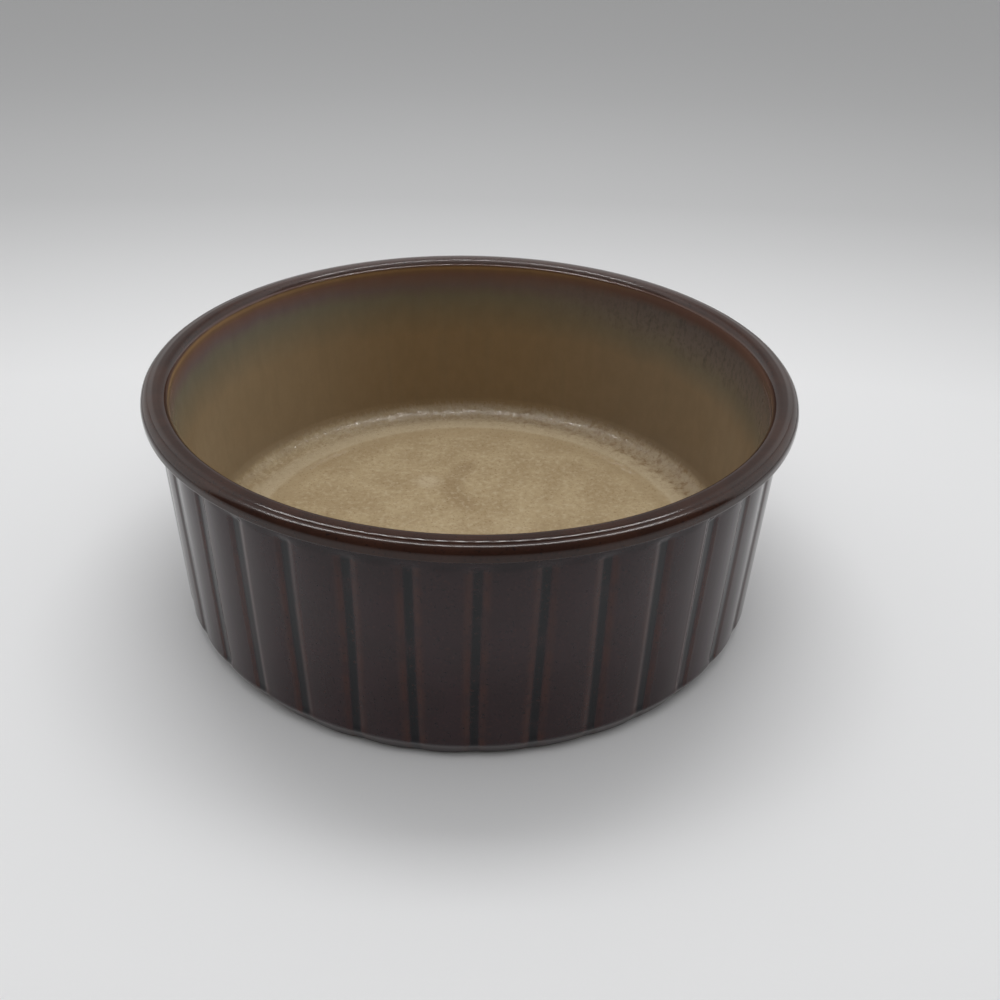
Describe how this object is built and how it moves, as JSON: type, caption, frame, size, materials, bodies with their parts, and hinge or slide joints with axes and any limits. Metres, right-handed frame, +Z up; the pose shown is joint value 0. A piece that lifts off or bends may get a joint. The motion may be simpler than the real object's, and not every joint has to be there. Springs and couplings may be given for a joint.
{
  "type": "casserole dish",
  "caption": "Round straight-sided casserole dish in glazed stoneware, with an upright-ribbed outer wall, a beaded rim, a lined inside and a bare foot ring, for baking and serving.",
  "frame": {"origin": "centre of the foot ring, on the surface that the dish stands on", "axes": "+Z up along the dish's turning axis, -Y towards the side that the picture shows, +X to the right of it"},
  "size_m": [0.2, 0.2, 0.0765],
  "materials": {
    "fired_clay": "bare fired stoneware, matt grey-brown",
    "brown_glaze": "glossy dark purplish brown, blue-black where it pools in the flutes, rust where it thins at the ribs' edges",
    "cream_glaze": "glossy cream to tan with fine brown specks, olive near the rim"
  },
  "bodies": {
    "root": {"stoneware_body": "fired_clay", "outer_glaze": "brown_glaze", "liner_glaze": "cream_glaze"}
  },
  "joints": []
}
